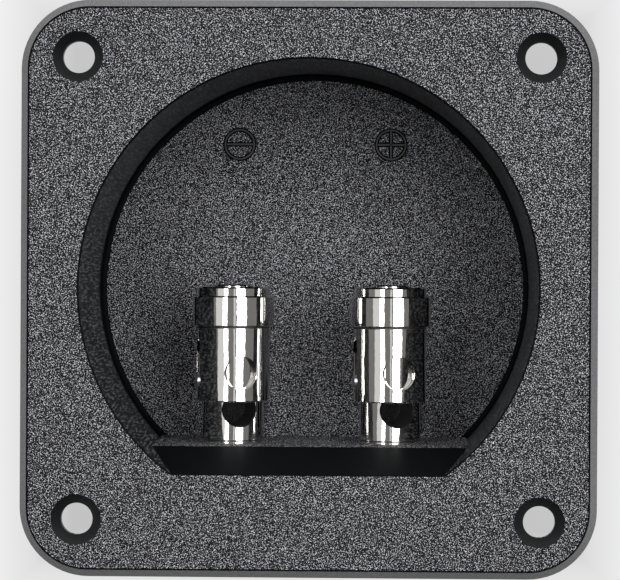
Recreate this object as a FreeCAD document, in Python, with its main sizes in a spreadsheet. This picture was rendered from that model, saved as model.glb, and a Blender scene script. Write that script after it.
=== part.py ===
import FreeCAD, Part
import math
import os
import Sketcher

# Speaker terminal plate: a square moulded plate with a round recess, and two
# sprung push terminals that stand on a ledge inside the recess.
# Frame: origin at the middle of the flange's back face, +Z out of the face,
# +Y from the ledge towards the middle of the recess, +X to the right from the front.

V = FreeCAD.Vector
doc = FreeCAD.newDocument("speaker_terminal_plate")

# Driving sizes in millimetres, angles in degrees
SIZES = {
    # flange
    "plate_width": 95.0,
    "plate_corner": 11.4,
    "flange_thickness": 3.0,
    "bevel_width": 1.25,
    "bevel_height": 2.0,
    "rim_line_width": 0.3,
    "rim_line_depth": 0.3,
    # corner screw holes, set in from the plate's edges
    "screw_inset": 9.5,
    "screw_hole": 5.25,
    "screw_sink": 8.3,
    "screw_sink_angle": 90.0,
    # recess, set in from the plate's edges, and the cup round it
    "face_margin": 9.45,
    "recess_draft": 0.25,
    "recess_corner": 1.0,
    "mouth_round": 0.3,
    "floor_round": 0.8,
    "floor_gap": 10.1,
    "cup_wall": 2.5,
    "cup_back_bevel": 0.8,
    # slope from the mouth down to the ledge, and the ledge
    "slope_inset": 7.65,
    "slope_run": 3.78,
    "ledge_depth": 13.5,
    "ledge_draft": 0.92,
    # terminal posts
    "post_pitch": 26.8,
    "knee_margin": 3.64,
    "foot_thickness": 0.6,
    "stem_diameter": 10.5,
    "shoulder_width": 1.85,
    "neck_proud": 0.4,
    "wire_hole": 6.0,
    "wire_hole_height": 5.95,
    "wire_turn": 16.0,
    "window_land": 0.65,
    "edge_break": 0.25,
    # sprung sleeves
    "sleeve_travel": 6.3,
    "sleeve_wall": 0.95,
    "sleeve_window": 5.7,
    "sleeve_roof": 1.6,
    "sleeve_crown": 1.5,
    "collar_rise": 0.75,
    "collar_height": 5.25,
    # guide pins and return springs
    "pin_diameter": 2.0,
    "pin_land": 0.8,
    "pin_proud": 0.2,
    "spring_strip_width": 0.8,
    "spring_strip_height": 0.6,
    "spring_turns": 4.0,
    # studs and what they hold behind the ledge
    "stud_diameter": 5.0,
    "stud_end": 1.0,
    "washer_diameter": 9.0,
    "washer_thickness": 1.0,
    "nut_width": 8.0,
    "nut_height": 2.7,
    "lock_thickness": 1.2,
    "lock_split": 1.0,
    "tab_width": 4.8,
    "tab_length": 11.5,
    "tab_thickness": 0.8,
    "tab_corner": 0.8,
    "tab_hole": 1.8,
    "tab_hole_inset": 2.2,
    # clearances
    "running_clearance": 0.05,
    "stud_clearance": 0.15,
    "seat_clearance": 0.02,
    "stop_clearance": 0.3,
    "press_clearance": 0.35,
    "spring_clearance": 0.15,
    "cut_over": 1.0,
}

sheet = doc.addObject("Spreadsheet::Sheet", "Sizes")
for row, (alias, size) in enumerate(SIZES.items(), start=1):
    sheet.set(f"A{row}", alias)
    sheet.set(f"B{row}", str(size))
    sheet.setAlias(f"B{row}", alias)
doc.recompute()


def value(formula):
    """The number that an expression on the sheet comes to."""
    return float(sheet.evalExpression(formula))


# Radii that several pieces share, as expressions on the sheet
STEM_RADIUS = "(Sizes.stem_diameter / 2)"
NECK_RADIUS = f"({STEM_RADIUS} - Sizes.shoulder_width)"
SLEEVE_BORE = f"({STEM_RADIUS} + Sizes.running_clearance)"
SLEEVE_RADIUS = f"({SLEEVE_BORE} + Sizes.sleeve_wall)"
COLLAR_RADIUS = f"({SLEEVE_RADIUS} + Sizes.collar_rise)"
PIN_RADIUS = "(Sizes.pin_diameter / 2)"
STUD_RADIUS = "(Sizes.stud_diameter / 2)"
STUD_BORE = f"({STUD_RADIUS} + Sizes.stud_clearance)"
WASHER_RADIUS = "(Sizes.washer_diameter / 2)"
NUT_FLAT = "(Sizes.nut_width / 2)"
NUT_CORNER = f"({NUT_FLAT} / cos(30))"
MOUTH_RADIUS = "(Sizes.plate_width / 2 - Sizes.face_margin)"
WALL_RADIUS = f"({MOUTH_RADIUS} - Sizes.mouth_round)"

# The plate's levels along Z, from the flange's back
FACE = "Sizes.flange_thickness"
EDGE_TOP = "(Sizes.flange_thickness - Sizes.bevel_height)"
MID_FLANGE = "(Sizes.flange_thickness / 2)"
LEDGE_LEVEL = "(Sizes.flange_thickness - Sizes.ledge_depth)"

# The slope and the ledge in Y, and the knee where the cup's skin turns behind them
SLOPE_FRONT = f"({MOUTH_RADIUS} - Sizes.slope_inset)"
LEDGE_FRONT = f"({SLOPE_FRONT} - Sizes.slope_run)"
LEDGE_RISE = "tan(Sizes.ledge_draft)"
SLOPE_RISE = "(Sizes.slope_run / Sizes.ledge_depth)"
SLOPE_SKIN = f"(Sizes.cup_wall * sqrt(1 + {SLOPE_RISE}^2))"
LEDGE_SKIN = "(Sizes.cup_wall / cos(Sizes.ledge_draft))"
KNEE_DROP = f"(({SLOPE_SKIN} - {LEDGE_SKIN}) / ({SLOPE_RISE} - {LEDGE_RISE}))"

# The posts stand so deep that their washers clear the knee, and the floor lies
# behind their collars
POST_DROP = f"({KNEE_DROP} + Sizes.knee_margin + {WASHER_RADIUS})"
POST_LEVEL = f"({LEDGE_LEVEL} - {POST_DROP})"
FLOOR = f"({POST_LEVEL} - {COLLAR_RADIUS} - Sizes.floor_gap)"
BACK = f"({FLOOR} - Sizes.cup_wall)"
LEDGE_AT_POST = f"-({LEDGE_FRONT} - {POST_DROP} * {LEDGE_RISE})"
LEDGE_AT_FLOOR = f"-({LEDGE_FRONT} - ({LEDGE_LEVEL} - {FLOOR}) * {LEDGE_RISE})"

# A terminal's levels along its own axis, upwards from the ledge
SLEEVE_FOOT = "(Sizes.foot_thickness + Sizes.sleeve_travel + Sizes.press_clearance)"
WINDOW_HEIGHT = "(Sizes.wire_hole_height + Sizes.sleeve_travel)"
PIN_HEIGHT = f"(Sizes.wire_hole_height + Sizes.wire_hole / 2 + Sizes.pin_land + {PIN_RADIUS})"
SHOULDER = f"({WINDOW_HEIGHT} + Sizes.sleeve_window / 2 + Sizes.window_land)"
SPRING_SOLID = "((Sizes.spring_turns + 1) * Sizes.spring_strip_height)"
SLEEVE_CEILING = f"({SHOULDER} + Sizes.sleeve_travel + {SPRING_SOLID} + Sizes.spring_clearance)"
SLEEVE_TOP = f"({SLEEVE_CEILING} + Sizes.sleeve_roof)"
COLLAR_TOP = f"({SLEEVE_TOP} - Sizes.sleeve_crown)"
COLLAR_BASE = f"({COLLAR_TOP} - Sizes.collar_height)"
NECK_TOP = f"({SLEEVE_TOP} + Sizes.neck_proud)"

# The stack on the stud, downwards from the back of the ledge's wall
LEDGE_BACK = "(-Sizes.cup_wall)"
WASHER_END = f"({LEDGE_BACK} - Sizes.washer_thickness)"
CLAMP_END = f"({WASHER_END} - Sizes.nut_height)"
TAB_END = f"({CLAMP_END} - Sizes.tab_thickness)"
LOCK_END = f"({TAB_END} - Sizes.lock_thickness)"
NUT_END = f"({LOCK_END} - Sizes.nut_height)"
STUD_END = f"({NUT_END} - Sizes.stud_end)"

TERMINALS = (("negative", -1), ("positive", 1))
TOUCH = 1e-3


def new_body(label):
    body = doc.addObject("PartDesign::Body", label)
    body.Label = label
    return body


def origin_part(body, role):
    """One of a body's own origin planes or axes."""
    return next(item for item in body.Origin.OriginFeatures if item.Role == role)


def sketch_on(body, role, name, lift=None, turn=None):
    """A sketch on an origin plane, lifted along it or turned about its upright."""
    sketch = body.newObject("Sketcher::SketchObject", name)
    sketch.AttachmentSupport = (origin_part(body, role), [""])
    sketch.MapMode = "FlatFace"
    if lift:
        sketch.setExpression(".AttachmentOffset.Base.z", lift)
    if turn:
        about_upright = FreeCAD.Rotation(V(0, 1, 0), value(turn))
        sketch.AttachmentOffset = FreeCAD.Placement(V(), about_upright)
        sketch.setExpression(".AttachmentOffset.Rotation.Angle", turn)
    return sketch


def hold_point(sketch, geometry, vertex, x, y):
    """Tie a sketch point to x and y from the origin, each an expression."""
    for kind, axis, formula in (("DistanceX", -2, x), ("DistanceY", -1, y)):
        amount = value(formula)
        if abs(amount) < TOUCH:
            sketch.addConstraint(
                Sketcher.Constraint("PointOnObject", geometry, vertex, axis))
            continue
        ends = (-1, 1, geometry, vertex) if amount > 0 else (geometry, vertex, -1, 1)
        index = sketch.addConstraint(Sketcher.Constraint(kind, *ends, abs(amount)))
        bound = formula if amount > 0 else f"-({formula})"
        sketch.setExpression(f"Constraints[{index}]", bound)


def hold_radius(sketch, geometry, radius):
    index = sketch.addConstraint(Sketcher.Constraint("Radius", geometry, value(radius)))
    sketch.setExpression(f"Constraints[{index}]", radius)


def draw_outline(sketch, corners):
    """A closed outline of straight lines through corners given as expressions."""
    places = [V(value(x), value(y), 0) for x, y in corners]
    for start, end in zip(places, places[1:] + places[:1]):
        sketch.addGeometry(Part.LineSegment(start, end), False)
    for line, (x, y) in enumerate(corners):
        following = (line + 1) % len(corners)
        sketch.addConstraint(Sketcher.Constraint("Coincident", line, 2, following, 1))
        hold_point(sketch, line, 1, x, y)


def draw_circle(sketch, x, y, radius):
    circle = Part.Circle(V(value(x), value(y), 0), V(0, 0, 1), value(radius))
    geometry = sketch.addGeometry(circle, False)
    hold_point(sketch, geometry, 3, x, y)
    hold_radius(sketch, geometry, radius)


def draw_rounded(sketch, half_width, top, bottom, corner):
    """A box outline with round corners: its four sides, then its four arcs."""
    first = sketch.GeometryCount
    inner = f"({half_width} - {corner})"
    high = f"({top} - {corner})"
    low = f"({bottom} + {corner})"
    sides = [((half_width, low), (half_width, high)), ((inner, top), (f"-{inner}", top)),
             ((f"-{half_width}", high), (f"-{half_width}", low)),
             ((f"-{inner}", bottom), (inner, bottom))]
    centres = [(inner, high), (f"-{inner}", high), (f"-{inner}", low), (inner, low)]
    for start, end in sides:
        ends = [V(value(x), value(y), 0) for x, y in (start, end)]
        sketch.addGeometry(Part.LineSegment(*ends), False)
    for quarter, (x, y) in enumerate(centres):
        circle = Part.Circle(V(value(x), value(y), 0), V(0, 0, 1), value(corner))
        sweep = (quarter * math.pi / 2, (quarter + 1) * math.pi / 2)
        sketch.addGeometry(Part.ArcOfCircle(circle, *sweep), False)
    for quarter, (start, end) in enumerate(sides):
        side, arc = first + quarter, first + len(sides) + quarter
        following = first + (quarter + 1) % len(sides)
        hold_point(sketch, side, 1, *start)
        hold_point(sketch, side, 2, *end)
        sketch.addConstraint(Sketcher.Constraint("Coincident", side, 2, arc, 1))
        sketch.addConstraint(Sketcher.Constraint("Coincident", arc, 2, following, 1))
        hold_radius(sketch, arc, corner)


def draw_slot(sketch, half_width, low, high):
    """An upright slot with round ends, given by the ends' centres."""
    reach, bottom, top = value(half_width), value(low), value(high)
    for x, start, end, middle in ((reach, bottom, top, top), (-reach, top, bottom, bottom)):
        sketch.addGeometry(Part.LineSegment(V(x, start, 0), V(x, end, 0)), False)
        circle = Part.Circle(V(0, middle, 0), V(0, 0, 1), reach)
        turned = 0 if x > 0 else math.pi
        sketch.addGeometry(Part.ArcOfCircle(circle, turned, turned + math.pi), False)
    for piece in range(4):
        following = (piece + 1) % 4
        sketch.addConstraint(Sketcher.Constraint("Tangent", piece, 2, following, 1))
    for arc, level in ((1, high), (3, low)):
        hold_point(sketch, arc, 3, "0", level)
        hold_radius(sketch, arc, half_width)


def pad(body, sketch, length, taper=None, both_ways=False):
    feature = body.newObject("PartDesign::Pad", sketch.Name + "_pad")
    feature.Profile = sketch
    feature.setExpression("Length", length)
    if taper:
        feature.setExpression("TaperAngle", taper)
    if both_ways:
        feature.SideType = "Symmetric"
    return feature


def pocket(body, sketch, length, reverse=False, both_ways=False):
    feature = body.newObject("PartDesign::Pocket", sketch.Name + "_cut")
    feature.Profile = sketch
    feature.setExpression("Length", length)
    feature.Reversed = reverse
    if both_ways:
        feature.SideType = "Symmetric"
    return feature


def turn_section(body, name, corners, kind="Revolution"):
    """A turned solid, or a Groove, from a half section of radius and height."""
    sketch = sketch_on(body, "XZ_Plane", name)
    draw_outline(sketch, corners)
    feature = body.newObject("PartDesign::" + kind, name + "_turned")
    feature.Profile = sketch
    feature.ReferenceAxis = (origin_part(body, "Z_Axis"), [""])
    feature.Angle = 360
    return feature


def dress_edges(body, feature, name, size, chosen, kind="Fillet"):
    """A fillet, or a chamfer, on the edges of a feature that a test picks out."""
    doc.recompute()
    dressing = body.newObject("PartDesign::" + kind, name)
    numbered = enumerate(feature.Shape.Edges, start=1)
    dressing.Base = (feature, [f"Edge{number}" for number, edge in numbered if chosen(edge)])
    dressing.setExpression("Radius" if kind == "Fillet" else "Size", size)
    return dressing


def lies_at(edge, level):
    return abs(edge.BoundBox.ZMin - level) < TOUCH and abs(edge.BoundBox.ZMax - level) < TOUCH


def boolean(body, name, kind, tools):
    feature = body.newObject("PartDesign::Boolean", name)
    feature.setObjects(tools)
    feature.Type = kind
    return feature


def stand_on_ledge(body, side):
    """Put a piece's own Z on a terminal's axis, square to the drafted ledge."""
    lean = FreeCAD.Rotation(V(-1, 0, 0), value("90 - Sizes.ledge_draft"))
    body.Placement = FreeCAD.Placement(V(), lean)
    body.setExpression(".Placement.Rotation.Angle", "90 - Sizes.ledge_draft")
    body.setExpression(".Placement.Base.x", f"{side} * Sizes.post_pitch / 2")
    body.setExpression(".Placement.Base.y", LEDGE_AT_POST)
    body.setExpression(".Placement.Base.z", POST_LEVEL)


def build_round_block(label, base, top, skin):
    """A round block that follows the recess wall's draft, a skin further out."""
    body = new_body(label)
    radius = f"({WALL_RADIUS} + {skin}"
    draft = "tan(Sizes.recess_draft)"
    base_radius = f"{radius} + ({base} - {FACE}) * {draft})"
    top_radius = f"{radius} + ({top} - {FACE}) * {draft})"
    block = turn_section(body, label + "_section", [
        ("0", base), (base_radius, base), (top_radius, top), ("0", top)])
    return body, block


def build_cup_form():
    """The outside of the cup: a round block cut to the line under the ledge."""
    body = new_body("cup_form")
    sketch = sketch_on(body, "YZ_Plane", "cup_side")
    reach = f"({WALL_RADIUS} + Sizes.cup_wall + Sizes.cut_over)"
    draw_outline(sketch, [
        (f"-({SLOPE_FRONT} + {SLOPE_SKIN} - {SLOPE_RISE} * ({FACE} - {MID_FLANGE}))",
         MID_FLANGE),
        (f"-({LEDGE_FRONT} + {LEDGE_SKIN} - {LEDGE_RISE} * {KNEE_DROP})",
         f"({LEDGE_LEVEL} - {KNEE_DROP})"),
        (f"{LEDGE_AT_FLOOR} - {LEDGE_SKIN} + {LEDGE_RISE} * Sizes.cup_wall", BACK),
        (reach, BACK),
        (reach, MID_FLANGE)])
    pad(body, sketch, f"2 * {reach}", both_ways=True)
    block, _ = build_round_block("cup_round", BACK, MID_FLANGE, "Sizes.cup_wall")
    common = boolean(body, "cup_common", "Common", [block])
    back = value(BACK)
    dress_edges(body, common, "cup_back_edge", "Sizes.cup_back_bevel",
                lambda edge: lies_at(edge, back), kind="Chamfer")
    return body


def build_recess_form():
    """The hollow of the cup: a round block, less the ledge and the slope."""
    body = new_body("recess_form")
    sketch = sketch_on(body, "YZ_Plane", "recess_side")
    reach = f"({WALL_RADIUS} + Sizes.cut_over)"
    above = f"({FACE} + Sizes.cut_over)"
    draw_outline(sketch, [
        (f"-({SLOPE_FRONT} + {SLOPE_RISE} * Sizes.cut_over)", above),
        (f"-{LEDGE_FRONT}", LEDGE_LEVEL),
        (LEDGE_AT_FLOOR, FLOOR),
        (reach, FLOOR),
        (reach, above)])
    pad(body, sketch, f"2 * {reach}", both_ways=True)
    block, turned = build_round_block("recess_round", FLOOR, above, "0")
    floor = value(FLOOR)
    dress_edges(block, turned, "floor_edge", "Sizes.floor_round",
                lambda edge: lies_at(edge, floor))
    common = boolean(body, "recess_common", "Common", [block])
    ledge_level = value(LEDGE_LEVEL)
    dress_edges(body, common, "slope_corners", "Sizes.recess_corner", lambda edge: (
        edge.BoundBox.ZMin > ledge_level - TOUCH
        and edge.BoundBox.ZLength > TOUCH and edge.BoundBox.YMax < 0))
    return body


def build_stud_drill(name, side):
    """The hole that a terminal's stud passes through in the ledge's wall."""
    body = new_body(name + "_drill")
    low = f"({LEDGE_BACK} - Sizes.cut_over)"
    turn_section(body, name + "_drill_section", [
        ("0", low), (STUD_BORE, low), (STUD_BORE, "Sizes.cut_over"), ("0", "Sizes.cut_over")])
    stand_on_ledge(body, side)
    return body


def build_terminal_cup():
    """The flange, recess and cup: one moulding."""
    body = new_body("terminal_cup")
    half = "(Sizes.plate_width / 2)"
    edge_sketch = sketch_on(body, "XY_Plane", "flange_edge")
    draw_rounded(edge_sketch, half, half, f"-{half}", "Sizes.plate_corner")
    pad(body, edge_sketch, EDGE_TOP)
    bevel_sketch = sketch_on(body, "XY_Plane", "flange_bevel", lift=EDGE_TOP)
    draw_rounded(bevel_sketch, half, half, f"-{half}", "Sizes.plate_corner")
    pad(body, bevel_sketch, "Sizes.bevel_height",
        taper="-atan(Sizes.bevel_width / Sizes.bevel_height)")

    line_sketch = sketch_on(body, "XY_Plane", "rim_line", lift=FACE)
    for inset in ("Sizes.bevel_width", "(Sizes.bevel_width + Sizes.rim_line_width)"):
        line = f"({half} - {inset})"
        draw_rounded(line_sketch, line, line, f"-{line}", f"(Sizes.plate_corner - {inset})")
    pocket(body, line_sketch, "Sizes.rim_line_depth")

    boolean(body, "add_cup", "Fuse", [build_cup_form()])
    drills = [build_stud_drill(name, side) for name, side in TERMINALS]
    boolean(body, "hollow_out", "Cut", [build_recess_form()] + drills)

    screw_sketch = sketch_on(body, "XY_Plane", "screw_places", lift=FACE)
    reach = f"({half} - Sizes.screw_inset)"
    for x, y in ((reach, reach), (f"-{reach}", reach), (f"-{reach}", f"-{reach}"),
                 (reach, f"-{reach}")):
        draw_circle(screw_sketch, x, y, "Sizes.screw_hole / 2")
    doc.recompute()
    holes = body.newObject("PartDesign::Hole", "screw_holes")
    holes.Profile = screw_sketch
    holes.DepthType = "Dimension"
    holes.DrillPoint = "Flat"
    holes.setExpression("Depth", f"{FACE} + Sizes.cut_over")
    holes.setExpression("Diameter", "Sizes.screw_hole")
    holes.HoleCutType = "Countersink"
    holes.HoleCutCustomValues = True
    holes.setExpression("HoleCutDiameter", "Sizes.screw_sink")
    holes.setExpression("HoleCutCountersinkAngle", "Sizes.screw_sink_angle")

    face = value(FACE)
    mouth_reach = value(MOUTH_RADIUS)
    dress_edges(body, holes, "mouth_edge", "Sizes.mouth_round", lambda edge: (
        lies_at(edge, face)
        and all(math.hypot(point.x, point.y) < mouth_reach for point in edge.discretize(5))))
    return body


def build_stem(name, side):
    """A terminal's turned post: stud, cross-drilled stem and thinner neck."""
    body = new_body(name + "_stem")
    broken = "Sizes.edge_break"
    foot = "Sizes.foot_thickness"
    turn_section(body, name + "_stem_section", [
        ("0", STUD_END),
        (f"{STUD_RADIUS} - {broken}", STUD_END),
        (STUD_RADIUS, f"{STUD_END} + {broken}"),
        (STUD_RADIUS, foot),
        (f"{STEM_RADIUS} - {broken}", foot),
        (STEM_RADIUS, f"{foot} + {broken}"),
        (STEM_RADIUS, f"{SHOULDER} - {broken}"),
        (f"{STEM_RADIUS} - {broken}", SHOULDER),
        (NECK_RADIUS, SHOULDER),
        (NECK_RADIUS, f"{NECK_TOP} - {broken}"),
        (f"{NECK_RADIUS} - {broken}", NECK_TOP),
        ("0", NECK_TOP)])
    wire_sketch = sketch_on(body, "XZ_Plane", name + "_wire_hole", turn="Sizes.wire_turn")
    draw_circle(wire_sketch, "0", "Sizes.wire_hole_height", "Sizes.wire_hole / 2")
    pocket(body, wire_sketch, "2 * Sizes.stem_diameter", both_ways=True)
    pin_sketch = sketch_on(body, "XZ_Plane", name + "_pin_hole", turn="Sizes.wire_turn - 90")
    draw_circle(pin_sketch, "0", PIN_HEIGHT, f"{PIN_RADIUS} + Sizes.seat_clearance")
    pocket(body, pin_sketch, "Sizes.stem_diameter", reverse=True)
    stand_on_ledge(body, side)
    return body


def build_sleeve(name, side):
    """The sprung sleeve: collar, roof, two windows and the guide pin's slot."""
    body = new_body(name + "_sleeve")
    broken = "Sizes.edge_break"
    neck_bore = f"({NECK_RADIUS} + Sizes.running_clearance)"
    turn_section(body, name + "_sleeve_section", [
        (SLEEVE_BORE, SLEEVE_FOOT),
        (f"{SLEEVE_RADIUS} - {broken}", SLEEVE_FOOT),
        (SLEEVE_RADIUS, f"{SLEEVE_FOOT} + {broken}"),
        (SLEEVE_RADIUS, COLLAR_BASE),
        (f"{COLLAR_RADIUS} - {broken}", COLLAR_BASE),
        (COLLAR_RADIUS, f"{COLLAR_BASE} + {broken}"),
        (COLLAR_RADIUS, f"{COLLAR_TOP} - {broken}"),
        (f"{COLLAR_RADIUS} - {broken}", COLLAR_TOP),
        (SLEEVE_RADIUS, COLLAR_TOP),
        (SLEEVE_RADIUS, f"{SLEEVE_TOP} - {broken}"),
        (f"{SLEEVE_RADIUS} - {broken}", SLEEVE_TOP),
        (neck_bore, SLEEVE_TOP),
        (neck_bore, SLEEVE_CEILING),
        (SLEEVE_BORE, SLEEVE_CEILING)])
    window_sketch = sketch_on(body, "XZ_Plane", name + "_window", turn="Sizes.wire_turn")
    draw_circle(window_sketch, "0", WINDOW_HEIGHT, "Sizes.sleeve_window / 2")
    pocket(body, window_sketch, f"3 * {SLEEVE_RADIUS}", both_ways=True)
    slot_sketch = sketch_on(body, "XZ_Plane", name + "_slot", turn="Sizes.wire_turn - 90")
    draw_slot(slot_sketch, f"({PIN_RADIUS} + Sizes.running_clearance)", PIN_HEIGHT,
              f"({PIN_HEIGHT} + Sizes.sleeve_travel + Sizes.stop_clearance)")
    pocket(body, slot_sketch, f"2 * {SLEEVE_RADIUS}", reverse=True)
    stand_on_ledge(body, side)
    return body


def build_return_spring(name, side):
    """The flat-strip coil round the neck that lifts the sleeve off the shoulder."""
    body = new_body(name + "_return_spring")
    middle = f"(({NECK_RADIUS} + {SLEEVE_BORE}) / 2)"
    inner = f"({middle} - Sizes.spring_strip_width / 2)"
    outer = f"({middle} + Sizes.spring_strip_width / 2)"
    low = f"({SHOULDER} + Sizes.seat_clearance)"
    high = f"({low} + Sizes.spring_strip_height)"
    sketch = sketch_on(body, "XZ_Plane", name + "_spring_strip")
    draw_outline(sketch, [(inner, low), (outer, low), (outer, high), (inner, high)])
    coil = body.newObject("PartDesign::AdditiveHelix", name + "_spring_coil")
    coil.Profile = sketch
    coil.ReferenceAxis = (origin_part(body, "Z_Axis"), [""])
    coil.Mode = "height-turns-angle"
    coil.setExpression("Height", f"{SLEEVE_CEILING} - Sizes.seat_clearance - {high}")
    coil.setExpression("Turns", "Sizes.spring_turns")
    stand_on_ledge(body, side)
    return body


def build_guide_pin(name, side):
    """The pin in the stem that runs in the sleeve's slot and stops its rise."""
    body = new_body(name + "_guide_pin")
    sketch = sketch_on(body, "XZ_Plane", name + "_pin_end", turn="Sizes.wire_turn - 90")
    draw_circle(sketch, "0", PIN_HEIGHT, PIN_RADIUS)
    pad(body, sketch, f"({SLEEVE_RADIUS} + Sizes.pin_proud)")
    stand_on_ledge(body, side)
    return body


def build_ring(name, side, inner, outer, low, high):
    """A flat turned ring."""
    body = new_body(name)
    turn_section(body, name + "_section", [
        (inner, low), (outer, low), (outer, high), (inner, high)])
    stand_on_ledge(body, side)
    return body


def build_foot_washer(name, side):
    """The bright ring under the stem, its upper edge broken."""
    body = new_body(name + "_foot_washer")
    broken = "(Sizes.edge_break / 2)"
    top = "Sizes.foot_thickness"
    turn_section(body, name + "_foot_section", [
        (STUD_BORE, "0"), (STEM_RADIUS, "0"), (STEM_RADIUS, f"{top} - {broken}"),
        (f"{STEM_RADIUS} - {broken}", top), (STUD_BORE, top)])
    stand_on_ledge(body, side)
    return body


def build_lock_washer(name, side):
    """A spring washer: a ring with one split."""
    body = build_ring(name + "_lock_washer", side, STUD_BORE, WASHER_RADIUS, LOCK_END, TAB_END)
    split_sketch = sketch_on(body, "XY_Plane", name + "_lock_split", lift=TAB_END)
    across = "(Sizes.lock_split / 2)"
    beyond = f"({WASHER_RADIUS} + Sizes.cut_over)"
    draw_outline(split_sketch, [
        ("0", f"-{across}"), (beyond, f"-{across}"), (beyond, across), ("0", across)])
    pocket(body, split_sketch, "Sizes.lock_thickness")
    return body


def build_nut(name, side, low, high):
    """A thin hexagon nut, chamfered at both ends."""
    body = new_body(name)
    hexagon = sketch_on(body, "XY_Plane", name + "_hexagon", lift=low)
    draw_outline(hexagon, [
        (f"{NUT_CORNER} * cos({angle})", f"{NUT_CORNER} * sin({angle})")
        for angle in range(0, 360, 60)])
    pad(body, hexagon, f"{high} - {low}")
    bore = sketch_on(body, "XY_Plane", name + "_bore", lift=high)
    draw_circle(bore, "0", "0", f"{STUD_RADIUS} + Sizes.running_clearance")
    pocket(body, bore, f"{high} - {low}")
    fall = f"(({NUT_CORNER} - {NUT_FLAT}) * tan(30))"
    beyond = f"({NUT_CORNER} + Sizes.cut_over)"
    for end, level, shoulder in (("top", high, f"({high} - {fall})"),
                                 ("bottom", low, f"({low} + {fall})")):
        turn_section(body, f"{name}_{end}", [
            (NUT_FLAT, level), (NUT_CORNER, shoulder), (beyond, shoulder), (beyond, level)],
            kind="Groove")
    stand_on_ledge(body, side)
    return body


def build_solder_tab(name, side):
    """The flat connecting tab: an eye on the stud and a blade towards the back."""
    body = new_body(name + "_solder_tab")
    eye = sketch_on(body, "XY_Plane", name + "_tab_eye", lift=TAB_END)
    draw_circle(eye, "0", "0", WASHER_RADIUS)
    pad(body, eye, "Sizes.tab_thickness")
    blade = sketch_on(body, "XY_Plane", name + "_tab_blade", lift=TAB_END)
    half = "(Sizes.tab_width / 2)"
    tip = "Sizes.tab_length"
    shoulder = "(Sizes.tab_length - Sizes.tab_corner)"
    draw_outline(blade, [
        (f"-{half}", "0"), (half, "0"), (half, shoulder), (f"{half} - Sizes.tab_corner", tip),
        (f"-({half} - Sizes.tab_corner)", tip), (f"-{half}", shoulder)])
    pad(body, blade, "Sizes.tab_thickness")
    holes = sketch_on(body, "XY_Plane", name + "_tab_holes", lift=CLAMP_END)
    draw_circle(holes, "0", "0", STUD_BORE)
    draw_circle(holes, "0", f"{tip} - Sizes.tab_hole_inset", "Sizes.tab_hole / 2")
    pocket(body, holes, "Sizes.tab_thickness")
    stand_on_ledge(body, side)
    return body


nodes = [build_terminal_cup()]
for name, side in TERMINALS:
    nodes += [
        build_foot_washer(name, side),
        build_stem(name, side),
        build_guide_pin(name, side),
        build_return_spring(name, side),
        build_sleeve(name, side),
        build_ring(name + "_rear_washer", side, STUD_BORE, WASHER_RADIUS,
                   WASHER_END, LEDGE_BACK),
        build_nut(name + "_clamp_nut", side, CLAMP_END, WASHER_END),
        build_solder_tab(name, side),
        build_lock_washer(name, side),
        build_nut(name + "_tab_nut", side, NUT_END, LOCK_END)]
doc.recompute()

failed = [item.Label for item in doc.Objects
          if "Invalid" in item.State or "Error" in item.State]
if failed:
    raise RuntimeError(f"these objects did not compute: {failed}")
for node in nodes:
    if node.Shape.isNull() or not node.Shape.isValid() or len(node.Shape.Solids) != 1:
        raise RuntimeError(f"{node.Label} is not one valid solid")

os.makedirs("parts", exist_ok=True)
for node in nodes:
    node.Shape.exportStep(f"parts/{node.Label}.step")
    centre = node.Shape.CenterOfGravity
    print(f"{node.Label}: {node.Shape.Volume:.1f} mm3 about"
          f" ({centre.x:.2f}, {centre.y:.2f}, {centre.z:.2f})")
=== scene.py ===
import bmesh
import bpy
from math import pi, radians, tan
from mathutils import Matrix, Vector


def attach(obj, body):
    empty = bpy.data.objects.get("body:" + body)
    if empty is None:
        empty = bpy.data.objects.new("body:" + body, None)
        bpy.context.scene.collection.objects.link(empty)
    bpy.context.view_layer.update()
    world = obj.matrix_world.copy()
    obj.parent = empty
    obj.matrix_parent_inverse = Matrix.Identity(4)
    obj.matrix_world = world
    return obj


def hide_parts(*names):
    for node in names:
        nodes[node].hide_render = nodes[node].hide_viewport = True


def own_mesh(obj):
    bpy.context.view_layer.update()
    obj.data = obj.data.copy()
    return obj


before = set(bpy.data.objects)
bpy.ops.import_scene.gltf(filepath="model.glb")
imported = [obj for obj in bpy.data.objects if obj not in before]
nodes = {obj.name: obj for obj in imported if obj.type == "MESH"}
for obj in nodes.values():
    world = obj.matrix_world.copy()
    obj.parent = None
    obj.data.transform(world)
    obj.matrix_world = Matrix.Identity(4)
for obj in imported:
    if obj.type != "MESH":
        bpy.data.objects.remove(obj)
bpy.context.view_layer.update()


# ---- Terminal cup ----
# One injection moulding in black plastic. The face, the recess floor and the ledge carry
# a sparked grain from the mould. The rim bevel, the recess wall with its draw lines, the
# screw sinks and the slope in front of the ledge are plain.
GRAIN_DARK = (0.002, 0.002, 0.0025)
GRAIN_MIDDLE = (0.0135, 0.0135, 0.0155)
# the two lightest grain colours are painted glints: light that the grain's relief catches, put into
# the colour
GRAIN_SOFT_GLINT = (0.175, 0.176, 0.195)
GRAIN_GLINT = (0.64, 0.65, 0.69)
# the floor's grain colours are a lighter copy of the face's, painted light, and the lightest is a
# painted glint
FLOOR_LIT_MIDDLE = (0.022, 0.022, 0.0255)
FLOOR_GLINT = (0.285, 0.286, 0.315)
# a darker copy of the floor's grain: painted shadow behind the posts
SHADE_MIDDLE = (0.018, 0.018, 0.020)
SHADE_SPECK = (0.04, 0.04, 0.044)
WALL_BLACK = (0.008, 0.009, 0.0105)
WALL_MIDDLE = (0.023, 0.025, 0.028)
# the lightest draw-line colour is a painted glint
WALL_GLINT = (0.13, 0.133, 0.14)
PLAIN_BLACK = (0.007, 0.008, 0.0085)
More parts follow.
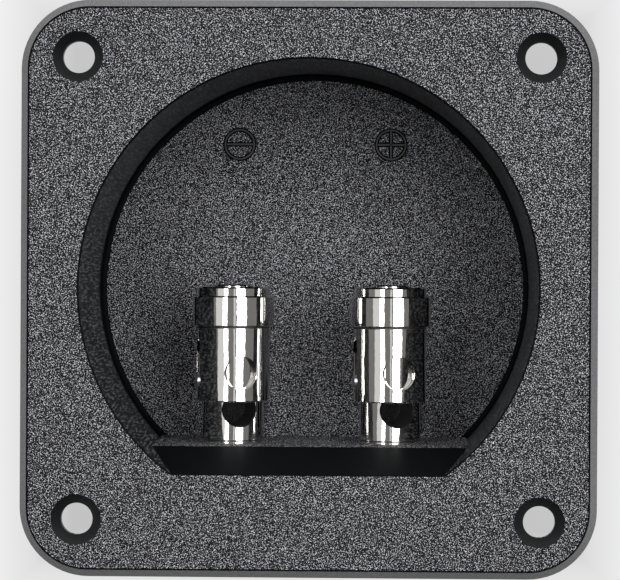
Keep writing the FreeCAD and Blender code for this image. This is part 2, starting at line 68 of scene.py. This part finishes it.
# the rim bevel's greys are painted sheen: the black plastic made grey for the light it catches
RIM_SHEEN_DARK = (0.130, 0.130, 0.136)
RIM_SHEEN_LIGHT = (0.190, 0.190, 0.196)
SLOPE_BLACK = (0.0035, 0.0042, 0.0055)
# grains per metre, the turn in radians that keeps them off the noise's own grid, and how
# much longer the ledge's grains and the wall's draw lines are towards the front
GRAIN_SCALE = 5700
GRAIN_TURN = (0.5, 0.4, 0.3)
LEDGE_STRETCH = (1, 1, 0.3)
DRAW_SCALE = 3600
DRAW_STRETCH = (1, 1, 0.07)
GRAIN_DEPTH = 0.0004
# Where each finish lies. A mask is 0 at a pair's first number and 1 at its second. The
# pairs named AIM are for the surface's direction, the others are in metres.
FRONT_AIM = (0.97, 0.995)
LEDGE_ZONE = (-0.020, -0.024)
LEDGE_AIM = (0.99, 0.998)
SLOPE_AIM = (0.93, 0.95)
SLOPE_AIM_END = (0.985, 0.975)
RIM_FROM_MIDDLE = (0.0455, 0.0459)
RIM_AIM = (0.66, 0.58)
GROOVE_LOW = (0.00262, 0.00268)
GROOVE_HIGH = (0.00297, 0.00293)
GROOVE_AIM_OUT = (0.35, 0.25)
GROOVE_AIM_UP = (0.9, 0.95)
INSIDE_WALL = (0.0392, 0.0388)
MOUTH_WITHIN = (0.0385, 0.0384)
MOUTH_ABOVE = (0.0025, 0.0026)
MOUTH_AIM = (0.9999, 0.999)
DEEP = (-0.025, -0.030)
# painted shade at the wall's foot
WALL_FOOT_SHADE = (-0.0275, -0.0310)
BEHIND_POST = (0.01385, -0.0215)
SHADE_WITHIN = (0.0070, 0.0040)


def new_finish(name, roughness, metallic=0.0):
    """A material with one Principled shader, and its node tree."""
    material = bpy.data.materials.new(name)
    material.use_nodes = True
    shader = material.node_tree.nodes["Principled BSDF"]
    shader.inputs["Roughness"].default_value = roughness
    shader.inputs["Metallic"].default_value = metallic
    return material, material.node_tree, shader


def add_node(tree, kind, inputs=None, **settings):
    """A node with its settings, and with its inputs set or linked."""
    node = tree.nodes.new("ShaderNode" + kind)
    for name, value in settings.items():
        setattr(node, name, value)
    for socket, value in (inputs or {}).items():
        if isinstance(value, bpy.types.NodeSocket):
            tree.links.new(value, node.inputs[socket])
        else:
            node.inputs[socket].default_value = value
    return node


def calculate(tree, operation, *values):
    return add_node(tree, "Math", dict(enumerate(values)), operation=operation).outputs[0]


def both(tree, one, other):
    """The mask of what lies in two masks."""
    return calculate(tree, "MULTIPLY", one, other)


def either(tree, one, other):
    return calculate(tree, "MAXIMUM", one, other)


def rising(tree, value, pair):
    """0 up to the pair's first number and 1 from its second, with a smooth step between."""
    step = add_node(tree, "MapRange", {0: value, 1: pair[0], 2: pair[1]},
                    interpolation_type="SMOOTHSTEP")
    return step.outputs[0]


def distance(tree, along, middle, other, other_middle):
    """Distance from the nearer of two points that mirror each other across X = 0."""
    line = add_node(tree, "CombineXYZ", {
        0: calculate(tree, "SUBTRACT", calculate(tree, "ABSOLUTE", along), middle),
        1: calculate(tree, "SUBTRACT", other, other_middle)})
    return add_node(tree, "VectorMath", {0: line.outputs[0]}, operation="LENGTH").outputs["Value"]


def split(tree, vector):
    return add_node(tree, "SeparateXYZ", {0: vector}).outputs


def blend_colour(tree, share, one, other):
    mix = add_node(tree, "Mix", data_type="RGBA")
    for socket, value in ((0, share), (6, one), (7, other)):
        if isinstance(value, bpy.types.NodeSocket):
            tree.links.new(value, mix.inputs[socket])
        else:
            mix.inputs[socket].default_value = (*value, 1)
    return mix.outputs[2]


def blend_number(tree, share, one, other):
    return add_node(tree, "Mix", {0: share, 2: one, 3: other}, data_type="FLOAT").outputs[0]


def lay_over(tree, blend, base, *layers):
    """A colour or number with others laid over it in turn, each within its mask."""
    for mask, value in layers:
        base = blend(tree, mask, base, value)
    return base


def noise(tree, scale, detail=2.0, stretch=(1, 1, 1), turn=(0, 0, 0)):
    """Noise on the piece's own coordinates, in cycles per metre."""
    place = add_node(tree, "Mapping", {
        "Vector": add_node(tree, "TexCoord").outputs["Object"], "Scale": stretch,
        "Rotation": turn}).outputs[0]
    pattern = add_node(tree, "TexNoise", {"Vector": place, "Scale": scale, "Detail": detail})
    return pattern.outputs[0]


def raise_surface(tree, shader, height, depth):
    """Bump of a given depth in metres."""
    bump = add_node(tree, "Bump", {"Height": height, "Distance": depth})
    tree.links.new(bump.outputs[0], shader.inputs["Normal"])


def colour_steps(tree, value, *steps):
    """Colours along a value, each step its place and colour."""
    ramp = add_node(tree, "ValToRGB", {0: value})
    stops = ramp.color_ramp.elements
    while len(stops) < len(steps):
        stops.new(0.5)
    for stop, (place, colour) in zip(stops, steps):
        stop.position = place
        stop.color = (*colour, 1)
    return ramp.outputs[0]


def dress(pieces, material):
    for piece in pieces:
        piece.data.materials.clear()
        piece.data.materials.append(material)


moulding, tree, shader = new_finish("black_moulding", roughness=0.5)
surface = add_node(tree, "TexCoord").outputs
across, upright, height = split(tree, surface["Object"])
_, aim_y, aim_z = split(tree, surface["Normal"])
from_middle = distance(tree, across, 0, upright, 0)

near_ledge = rising(tree, upright, LEDGE_ZONE)
ledge = both(tree, rising(tree, aim_y, LEDGE_AIM), near_ledge)
grained = either(tree, rising(tree, aim_z, FRONT_AIM), ledge)
slope = both(tree, both(tree, rising(tree, aim_y, SLOPE_AIM), near_ledge),
             rising(tree, aim_y, SLOPE_AIM_END))
rim = both(tree, rising(tree, from_middle, RIM_FROM_MIDDLE), rising(tree, aim_z, RIM_AIM))
inside = rising(tree, from_middle, INSIDE_WALL)
# painted shade: the wall is darker near the floor
wall_foot_shade = both(tree, rising(tree, height, WALL_FOOT_SHADE), inside)
# the rounded edge where the wall meets the face
mouth = both(tree, rising(tree, from_middle, MOUTH_WITHIN),
             both(tree, rising(tree, height, MOUTH_ABOVE), rising(tree, aim_z, MOUTH_AIM)))
# painted shade in the fine groove between the rim bevel and the face
groove = both(tree, both(tree, rising(tree, height, GROOVE_LOW), rising(tree, height, GROOVE_HIGH)),
              either(tree, rising(tree, aim_z, GROOVE_AIM_OUT), rising(tree, aim_z, GROOVE_AIM_UP)))
# the floor, and a painted shadow on it behind the posts' wire holes, where the posts keep it in the
# dark
deep = rising(tree, height, DEEP)
to_post = distance(tree, across, BEHIND_POST[0], upright, BEHIND_POST[1])
shaded = both(tree, deep, rising(tree, to_post, SHADE_WITHIN))

grain = blend_number(tree, ledge, noise(tree, GRAIN_SCALE, detail=0, turn=GRAIN_TURN),
                     noise(tree, GRAIN_SCALE, detail=0, stretch=LEDGE_STRETCH))
# the face's grain, with painted glints in its two lightest steps
face_grain_and_glints = colour_steps(
    tree, grain, (0.42, GRAIN_DARK), (0.52, GRAIN_MIDDLE), (0.60, GRAIN_SOFT_GLINT), (0.70, GRAIN_GLINT))
# the recess floor's grain, painted lighter than the face's, with painted glints
floor_lit_grain = colour_steps(
    tree, grain, (0.42, GRAIN_DARK), (0.52, FLOOR_LIT_MIDDLE), (0.60, FLOOR_GLINT), (0.68, GRAIN_GLINT))
shade_colour = colour_steps(
    tree, grain, (0.42, GRAIN_DARK), (0.54, SHADE_MIDDLE), (0.68, SHADE_SPECK))
# the grain with its painted glints, the floor's painted lighter copy, and the painted shadow behind
# the posts
grain_glints_and_shade = lay_over(tree, blend_colour, face_grain_and_glints,
                        (deep, floor_lit_grain), (shaded, shade_colour))
# the wall's draw lines, with painted glints in their lightest step and painted shade at the wall's
# foot
draw_lines = noise(tree, DRAW_SCALE, detail=0, stretch=DRAW_STRETCH)
wall_glints_and_shade = lay_over(tree, blend_colour, colour_steps(
    tree, draw_lines, (0.40, WALL_BLACK), (0.52, WALL_MIDDLE), (0.66, WALL_GLINT)),
    (wall_foot_shade, PLAIN_BLACK))
# painted sheen on the rim bevel
rim_sheen = colour_steps(tree, noise(tree, scale=3000), (0.35, RIM_SHEEN_DARK), (0.65, RIM_SHEEN_LIGHT))
colour = lay_over(tree, blend_colour, PLAIN_BLACK,
                  (inside, wall_glints_and_shade), (rim, rim_sheen), (slope, SLOPE_BLACK),
                  # the groove's black is painted shade
                  (grained, grain_glints_and_shade), (groove, SLOPE_BLACK), (mouth, SLOPE_BLACK))
roughness = lay_over(tree, blend_number, 0.36,
                     (rim, 0.5), (slope, 0.6), (grained, 0.35), (ledge, 0.7))
specular = lay_over(tree, blend_number, 0.35,
                    (inside, 0.15), (rim, 0.2), (wall_foot_shade, 0.0), (slope, 0.05),
                    (grained, 0.3), (mouth, 0.05), (ledge, 0.1))
# the plain places keep a trace of the grain
relief = calculate(tree, "MULTIPLY", grain, blend_number(tree, grained, 0.02, 1.0))
tree.links.new(colour, shader.inputs["Base Color"])
tree.links.new(roughness, shader.inputs["Roughness"])
tree.links.new(specular, shader.inputs["Specular IOR Level"])
raise_surface(tree, shader, relief, GRAIN_DEPTH)
dress([nodes["terminal_cup"]], moulding)


# ---- Polarity marks ----
# A ringed minus over the left terminal and a ringed plus over the right one, raised on
# the recess floor. They are part of the moulding, smooth where the floor is grained, with
# painted shade along their rounded edges.
# painted shade for the marks' rounded edges
MARK_EDGE_SHADE = (0.0015, 0.0015, 0.002)
MARK_BLACK = (0.018, 0.019, 0.021)
MARK_GREY = (0.030, 0.031, 0.034)
MARK_TOP_AIM = (0.975, 0.998)
# the ring's outer radius, the widths of its stroke and of the bars, the rounding, and the
# heights over and under the floor
MARK_RING = 0.00295
MARK_STROKE = 0.00075
MARK_BAR = 0.0008
MARK_ROUND = 0.00022
MARK_RISE = 0.0003
MARK_SUNK = 0.0001
MARK_Y = 0.0255
POST_PITCH = 0.0268
FLOOR_Z = -0.0361026
SHARP = 1.0  # radians between two faces, for an edge that is rounded


def shape_piece(name, builder, place, body, material):
    """A new piece from a bmesh, put in place through its mesh."""
    mesh = bpy.data.meshes.new(name)
    builder.transform(place)
    bmesh.ops.recalc_face_normals(builder, faces=builder.faces)
    builder.to_mesh(mesh)
    builder.free()
    piece = bpy.data.objects.new(name, mesh)
    bpy.context.scene.collection.objects.link(piece)
    dress([piece], material)
    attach(piece, body)
    return piece


mark_plastic, tree, shader = new_finish("mark_plastic", roughness=0.4)
mottle = noise(tree, scale=900)
on_top = rising(tree, split(tree, add_node(tree, "TexCoord").outputs["Normal"])[2], MARK_TOP_AIM)
top_colour = colour_steps(tree, mottle, (0.3, MARK_BLACK), (0.7, MARK_GREY))
tree.links.new(blend_colour(tree, on_top, MARK_EDGE_SHADE, top_colour), shader.inputs["Base Color"])
tree.links.new(blend_number(tree, on_top, 0.0, 0.3), shader.inputs["Specular IOR Level"])
raise_surface(tree, shader, mottle, depth=0.00001)

for name, side, bars in (("minus_mark", -1, (0,)), ("plus_mark", 1, (0, pi / 2))):
    mark = bmesh.new()
    section = [mark.verts.new((MARK_RING - inset, 0, z)) for inset, z in (
        (0, -MARK_SUNK), (0, MARK_RISE), (MARK_STROKE, MARK_RISE), (MARK_STROKE, -MARK_SUNK))]
    loop = [mark.edges.new((a, b)) for a, b in zip(section, section[1:] + section[:1])]
    bmesh.ops.spin(mark, geom=section + loop, cent=(0, 0, 0), axis=(0, 0, 1),
                   angle=2 * pi, steps=64, use_merge=True)
    for turn in bars:
        size = (2 * MARK_RING - MARK_STROKE, MARK_BAR, MARK_RISE + MARK_SUNK)
        lift = Matrix.Translation((0, 0, (MARK_RISE - MARK_SUNK) / 2))
        bmesh.ops.create_cube(mark, size=1, matrix=(
            Matrix.Rotation(turn, 4, "Z") @ lift @ Matrix.Diagonal((*size, 1))))
    top = [edge for edge in mark.edges if edge.is_manifold and edge.calc_face_angle() > SHARP
           and all(vert.co.z > MARK_RISE / 2 for vert in edge.verts)]
    bmesh.ops.bevel(mark, geom=top, offset=MARK_ROUND, affect="EDGES", segments=3,
                    profile=0.5, material=-1)
    place = Matrix.Translation((side * POST_PITCH / 2, MARK_Y, FLOOR_Z))
    shape_piece(name, mark, place, "plate", mark_plastic)


# ---- Posts, sleeves and foot rings ----
# Turned brass, polished and plated bright. The post is clamped to the ledge with its
# foot ring under it, and the sleeve slides on it. The post's cross hole is matt from the
# drill and painted dark as shade, and a line of painted shade lies under the sleeve's collar.
PLATING = (0.80, 0.79, 0.77)
PLATING_DULL = (0.78, 0.77, 0.75)
# painted shade for the cross hole and the line under the collar
SHADED_DULL = (0.10, 0.095, 0.09)
POST_AXIS_Z = -0.01889
HOLE_WITHIN = (0.00515, 0.0050)
HOLE_BELOW = (-0.0165, -0.0170)
LINE_ABOVE = (-0.00685, -0.00680)
LINE_BELOW = (-0.00643, -0.00648)

plating, tree, shader = new_finish("bright_plating", roughness=0.05, metallic=1.0)
across, upright, height = split(tree, add_node(tree, "TexCoord").outputs["Object"])
from_axis = distance(tree, across, POST_PITCH / 2, height, POST_AXIS_Z)
hole = both(tree, rising(tree, from_axis, HOLE_WITHIN), rising(tree, upright, HOLE_BELOW))
# painted shade: a dark line under the sleeve's collar
line = both(tree, rising(tree, upright, LINE_ABOVE), rising(tree, upright, LINE_BELOW))
dull_and_shaded = either(tree, hole, line)
ripple = noise(tree, scale=350, detail=3)
bright = blend_colour(tree, ripple, PLATING_DULL, PLATING)
turning = noise(tree, scale=2500, detail=1, stretch=(0.1, 1, 0.1))
polish = blend_number(tree, turning, 0.03, 0.08)
tree.links.new(blend_colour(tree, dull_and_shaded, bright, SHADED_DULL), shader.inputs["Base Color"])
tree.links.new(blend_number(tree, dull_and_shaded, polish, 0.5), shader.inputs["Roughness"])
raise_surface(tree, shader, ripple, depth=0.00003)
dress([nodes[f"{terminal}_{part}"] for terminal in ("negative", "positive")
       for part in ("stem", "sleeve", "foot_washer")], plating)


# ---- Guide pins ----
# Ground steel pins, pressed into the posts. Each runs in its sleeve's slot, where it
# keeps the sleeve from turning and stops it at both ends.
PIN_DARK = (0.52, 0.52, 0.53)
PIN_LIGHT = (0.66, 0.66, 0.67)

pin_steel, tree, shader = new_finish("ground_steel", roughness=0.35, metallic=1.0)
ground = noise(tree, scale=3000, stretch=(0.1, 1, 1))
tree.links.new(colour_steps(tree, ground, (0.3, PIN_DARK), (0.7, PIN_LIGHT)),
               shader.inputs["Base Color"])
raise_surface(tree, shader, ground, depth=0.000005)
dress([nodes["negative_guide_pin"], nodes["positive_guide_pin"]], pin_steel)


# ---- Return springs ----
# Flat-strip steel coils round the posts' necks, inside the sleeves. Each stands on the
# post's shoulder, lifts the sleeve and shortens as it is pressed; the coil here is built
# at one length.
STRIP_DARK = (0.38, 0.37, 0.36)
STRIP_LIGHT = (0.54, 0.54, 0.55)
# the strip's inner and outer radius and its thickness, and the coil's ends as heights on
# the post's axis, which leaves the ledge at POST_FOOT (Y, Z) and leans with it
STRIP = (0.00395, 0.00475, 0.0006)
COIL_LOW = 0.01577
COIL_HIGH = 0.02518
COIL_TURNS = 4
STEPS_PER_TURN = 24
LEDGE_LEAN = radians(0.92)
POST_FOOT = (-0.0264835, -0.0190026)

spring_steel, tree, shader = new_finish("spring_steel", roughness=0.3, metallic=1.0)
drawn = noise(tree, scale=1800, stretch=(1, 0.3, 1))
tree.links.new(colour_steps(tree, drawn, (0.3, STRIP_DARK), (0.7, STRIP_LIGHT)),
               shader.inputs["Base Color"])
raise_surface(tree, shader, drawn, depth=0.000008)

axis = Vector((0, 1, 0))
axis.rotate(Matrix.Rotation(LEDGE_LEAN, 3, "X"))
for terminal, side in (("negative", -1), ("positive", 1)):
    inner, outer, thick = STRIP
    coil = bmesh.new()
    corners = [coil.verts.new((radius, 0, z)) for radius, z in (
        (inner, COIL_LOW), (outer, COIL_LOW), (outer, COIL_LOW + thick),
        (inner, COIL_LOW + thick))]
    end = coil.faces.new(corners)
    steps = STEPS_PER_TURN * COIL_TURNS
    climb = (COIL_HIGH - COIL_LOW - thick) / steps
    bmesh.ops.spin(coil, geom=[end, *end.edges, *end.verts], cent=(0, 0, 0),
                   axis=(0, 0, 1), dvec=(0, 0, climb), angle=2 * pi * COIL_TURNS, steps=steps)
    foot = Vector((side * POST_PITCH / 2, *POST_FOOT))
    stand = Matrix.Translation(foot) @ Matrix.Rotation(LEDGE_LEAN - pi / 2, 4, "X")
    spring = shape_piece(terminal + "_coil", coil, stand, "plate", spring_steel)
    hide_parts(terminal + "_return_spring")
    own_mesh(spring)


# ---- Washers and nuts behind the ledge ----
# Zinc-plated steel: a washer and a thin nut clamp each post, and a spring washer and a
# second nut hold its solder tab.
ZINC_BLUE = (0.55, 0.56, 0.60)
ZINC_GREY = (0.68, 0.69, 0.71)
ZINC_WARM = (0.76, 0.76, 0.74)

zinc, tree, shader = new_finish("zinc_plating", roughness=0.3, metallic=1.0)
bloom = noise(tree, scale=700, detail=4)
tree.links.new(colour_steps(tree, bloom, (0.3, ZINC_BLUE), (0.55, ZINC_GREY), (0.75, ZINC_WARM)),
               shader.inputs["Base Color"])
tree.links.new(blend_number(tree, bloom, 0.22, 0.45), shader.inputs["Roughness"])
raise_surface(tree, shader, bloom, depth=0.00001)
dress([nodes[f"{terminal}_{part}"] for terminal in ("negative", "positive")
       for part in ("rear_washer", "clamp_nut", "lock_washer", "tab_nut")], zinc)


# ---- Solder tabs ----
# Flat tabs pressed from brass strip, with a bright tin coat that the brass shows through.
# Each hangs under its terminal's second nut.
BRASS_SHOWS = (0.62, 0.60, 0.54)
TIN_COAT = (0.76, 0.75, 0.72)

tin, tree, shader = new_finish("tinned_brass", roughness=0.28, metallic=1.0)
rolled = noise(tree, scale=1500, detail=3, stretch=(1, 1, 0.08))
tree.links.new(colour_steps(tree, rolled, (0.3, BRASS_SHOWS), (0.7, TIN_COAT)),
               shader.inputs["Base Color"])
tree.links.new(blend_number(tree, rolled, 0.2, 0.38), shader.inputs["Roughness"])
raise_surface(tree, shader, rolled, depth=0.000008)
dress([nodes["negative_solder_tab"], nodes["positive_solder_tab"]], tin)


# ---- Floor, lamps and camera ----
# The plate lies on its back on a pale table, with a painted shadow that makes it greyer
# under the plate than round it. Soft boxes hang to its left and right, and the grey room
# is lighter towards the plate's top.
BACK_Z = -0.0386026
FLOOR_REACH = 3.0
TABLE_WHITE = (0.65, 0.65, 0.65)
# the table's tones are a painted shadow, greyest under the plate and lighter further out
TABLE_SHADE = (0.57, 0.57, 0.57)
TABLE_NEAR = (0.78, 0.78, 0.78)
TABLE_FAR = (0.91, 0.91, 0.91)
SHADE_ENDS = (0.040, 0.060)
GLOW_SHARE = 0.9  # the rest is lit, and so keeps the plate's shadow
ROOM_DARK = (0.0, 0.0, 0.0)
ROOM_GREY = (0.215, 0.21, 0.205)
ROOM_LIGHT = (0.8, 0.8, 0.8)
LAMP_LEVEL = 0.6
LAMP_LENGTH = 0.5
LAMP_SHIFT = 0.13
# each lamp's edges in degrees from straight above, towards the right, and its brightness
LAMPS = (("right_box", 11.8, 39.5, 4.8), ("left_box", -28.5, -16.3, 4.8),
         ("left_wing", -49, -28.6, 0.42), ("gap_line", 2, 7.5, 0.4))
# found from where the plate's corners, its holes and the recess floor are in the picture
CAMERA_LENS = 166.89
CAMERA_PLACE = (0.013853, 0.001527, 0.473444)
CAMERA_TURN = (-0.1937, 1.6518, 0.3006)

table = bmesh.new()
bmesh.ops.create_grid(table, x_segments=1, y_segments=1, size=FLOOR_REACH)
mesh = bpy.data.meshes.new("table")
table.to_mesh(mesh)
table.free()
mesh.transform(Matrix.Translation((0, 0, BACK_Z)))
floor = bpy.data.objects.new("table", mesh)
bpy.context.scene.collection.objects.link(floor)

table_white, tree, shader = new_finish("table_white", roughness=0.9)
shader.inputs["Base Color"].default_value = (*TABLE_WHITE, 1)
rays = add_node(tree, "LightPath").outputs
seen = either(tree, either(tree, rays["Is Camera Ray"], rays["Is Glossy Ray"]),
              rays["Is Transmission Ray"])
across, upright, _ = split(tree, add_node(
    tree, "VectorMath", {0: add_node(tree, "TexCoord").outputs["Object"]},
    operation="ABSOLUTE").outputs[0])
# painted shadow: the table is greyer under the plate than round it
beside = add_node(tree, "MapRange", {0: either(tree, across, upright),
                                     1: SHADE_ENDS[0], 2: SHADE_ENDS[1]}).outputs[0]
table_shadow_tone = colour_steps(tree, beside, (0.15, TABLE_SHADE), (0.5, TABLE_NEAR), (0.85, TABLE_FAR))
glow = add_node(tree, "Emission", {"Color": table_shadow_tone, "Strength": 1.0})
shown = add_node(tree, "MixShader", {0: calculate(tree, "MULTIPLY", seen, GLOW_SHARE),
                                     1: shader.outputs[0], 2: glow.outputs[0]})
tree.links.new(shown.outputs[0], tree.nodes["Material Output"].inputs[0])
dress([floor], table_white)

for name, start, stop, brightness in LAMPS:
    low, high = (LAMP_LEVEL * tan(radians(edge)) for edge in (start, stop))
    lamp = bpy.data.lights.new(name, "AREA")
    lamp.shape = "RECTANGLE"
    lamp.size = high - low
    lamp.size_y = LAMP_LENGTH
    # a lamp of one square metre needs 4 watts to look as bright as a glow of strength 1
    lamp.energy = brightness * 4 * lamp.size * lamp.size_y
    box = bpy.data.objects.new(name, lamp)
    box.location = ((low + high) / 2, LAMP_SHIFT, LAMP_LEVEL)
    bpy.context.scene.collection.objects.link(box)

world = bpy.data.worlds.new("room")
bpy.context.scene.world = world
world.use_nodes = True
tree = world.node_tree
sky = split(tree, add_node(tree, "TexCoord").outputs["Generated"])[1]
sky = add_node(tree, "MapRange", {0: sky, 1: -1.0, 2: 1.0}).outputs[0]
tree.links.new(colour_steps(tree, sky, (0.1, ROOM_DARK), (0.5, ROOM_GREY), (0.9, ROOM_LIGHT)),
               tree.nodes["Background"].inputs["Color"])

camera = bpy.data.cameras.new("camera")
camera.lens = CAMERA_LENS
eye = bpy.data.objects.new("camera", camera)
eye.location = CAMERA_PLACE
eye.rotation_euler = [radians(angle) for angle in CAMERA_TURN]
bpy.context.scene.collection.objects.link(eye)
bpy.context.scene.camera = eye
bpy.context.scene.view_settings.view_transform = "Standard"
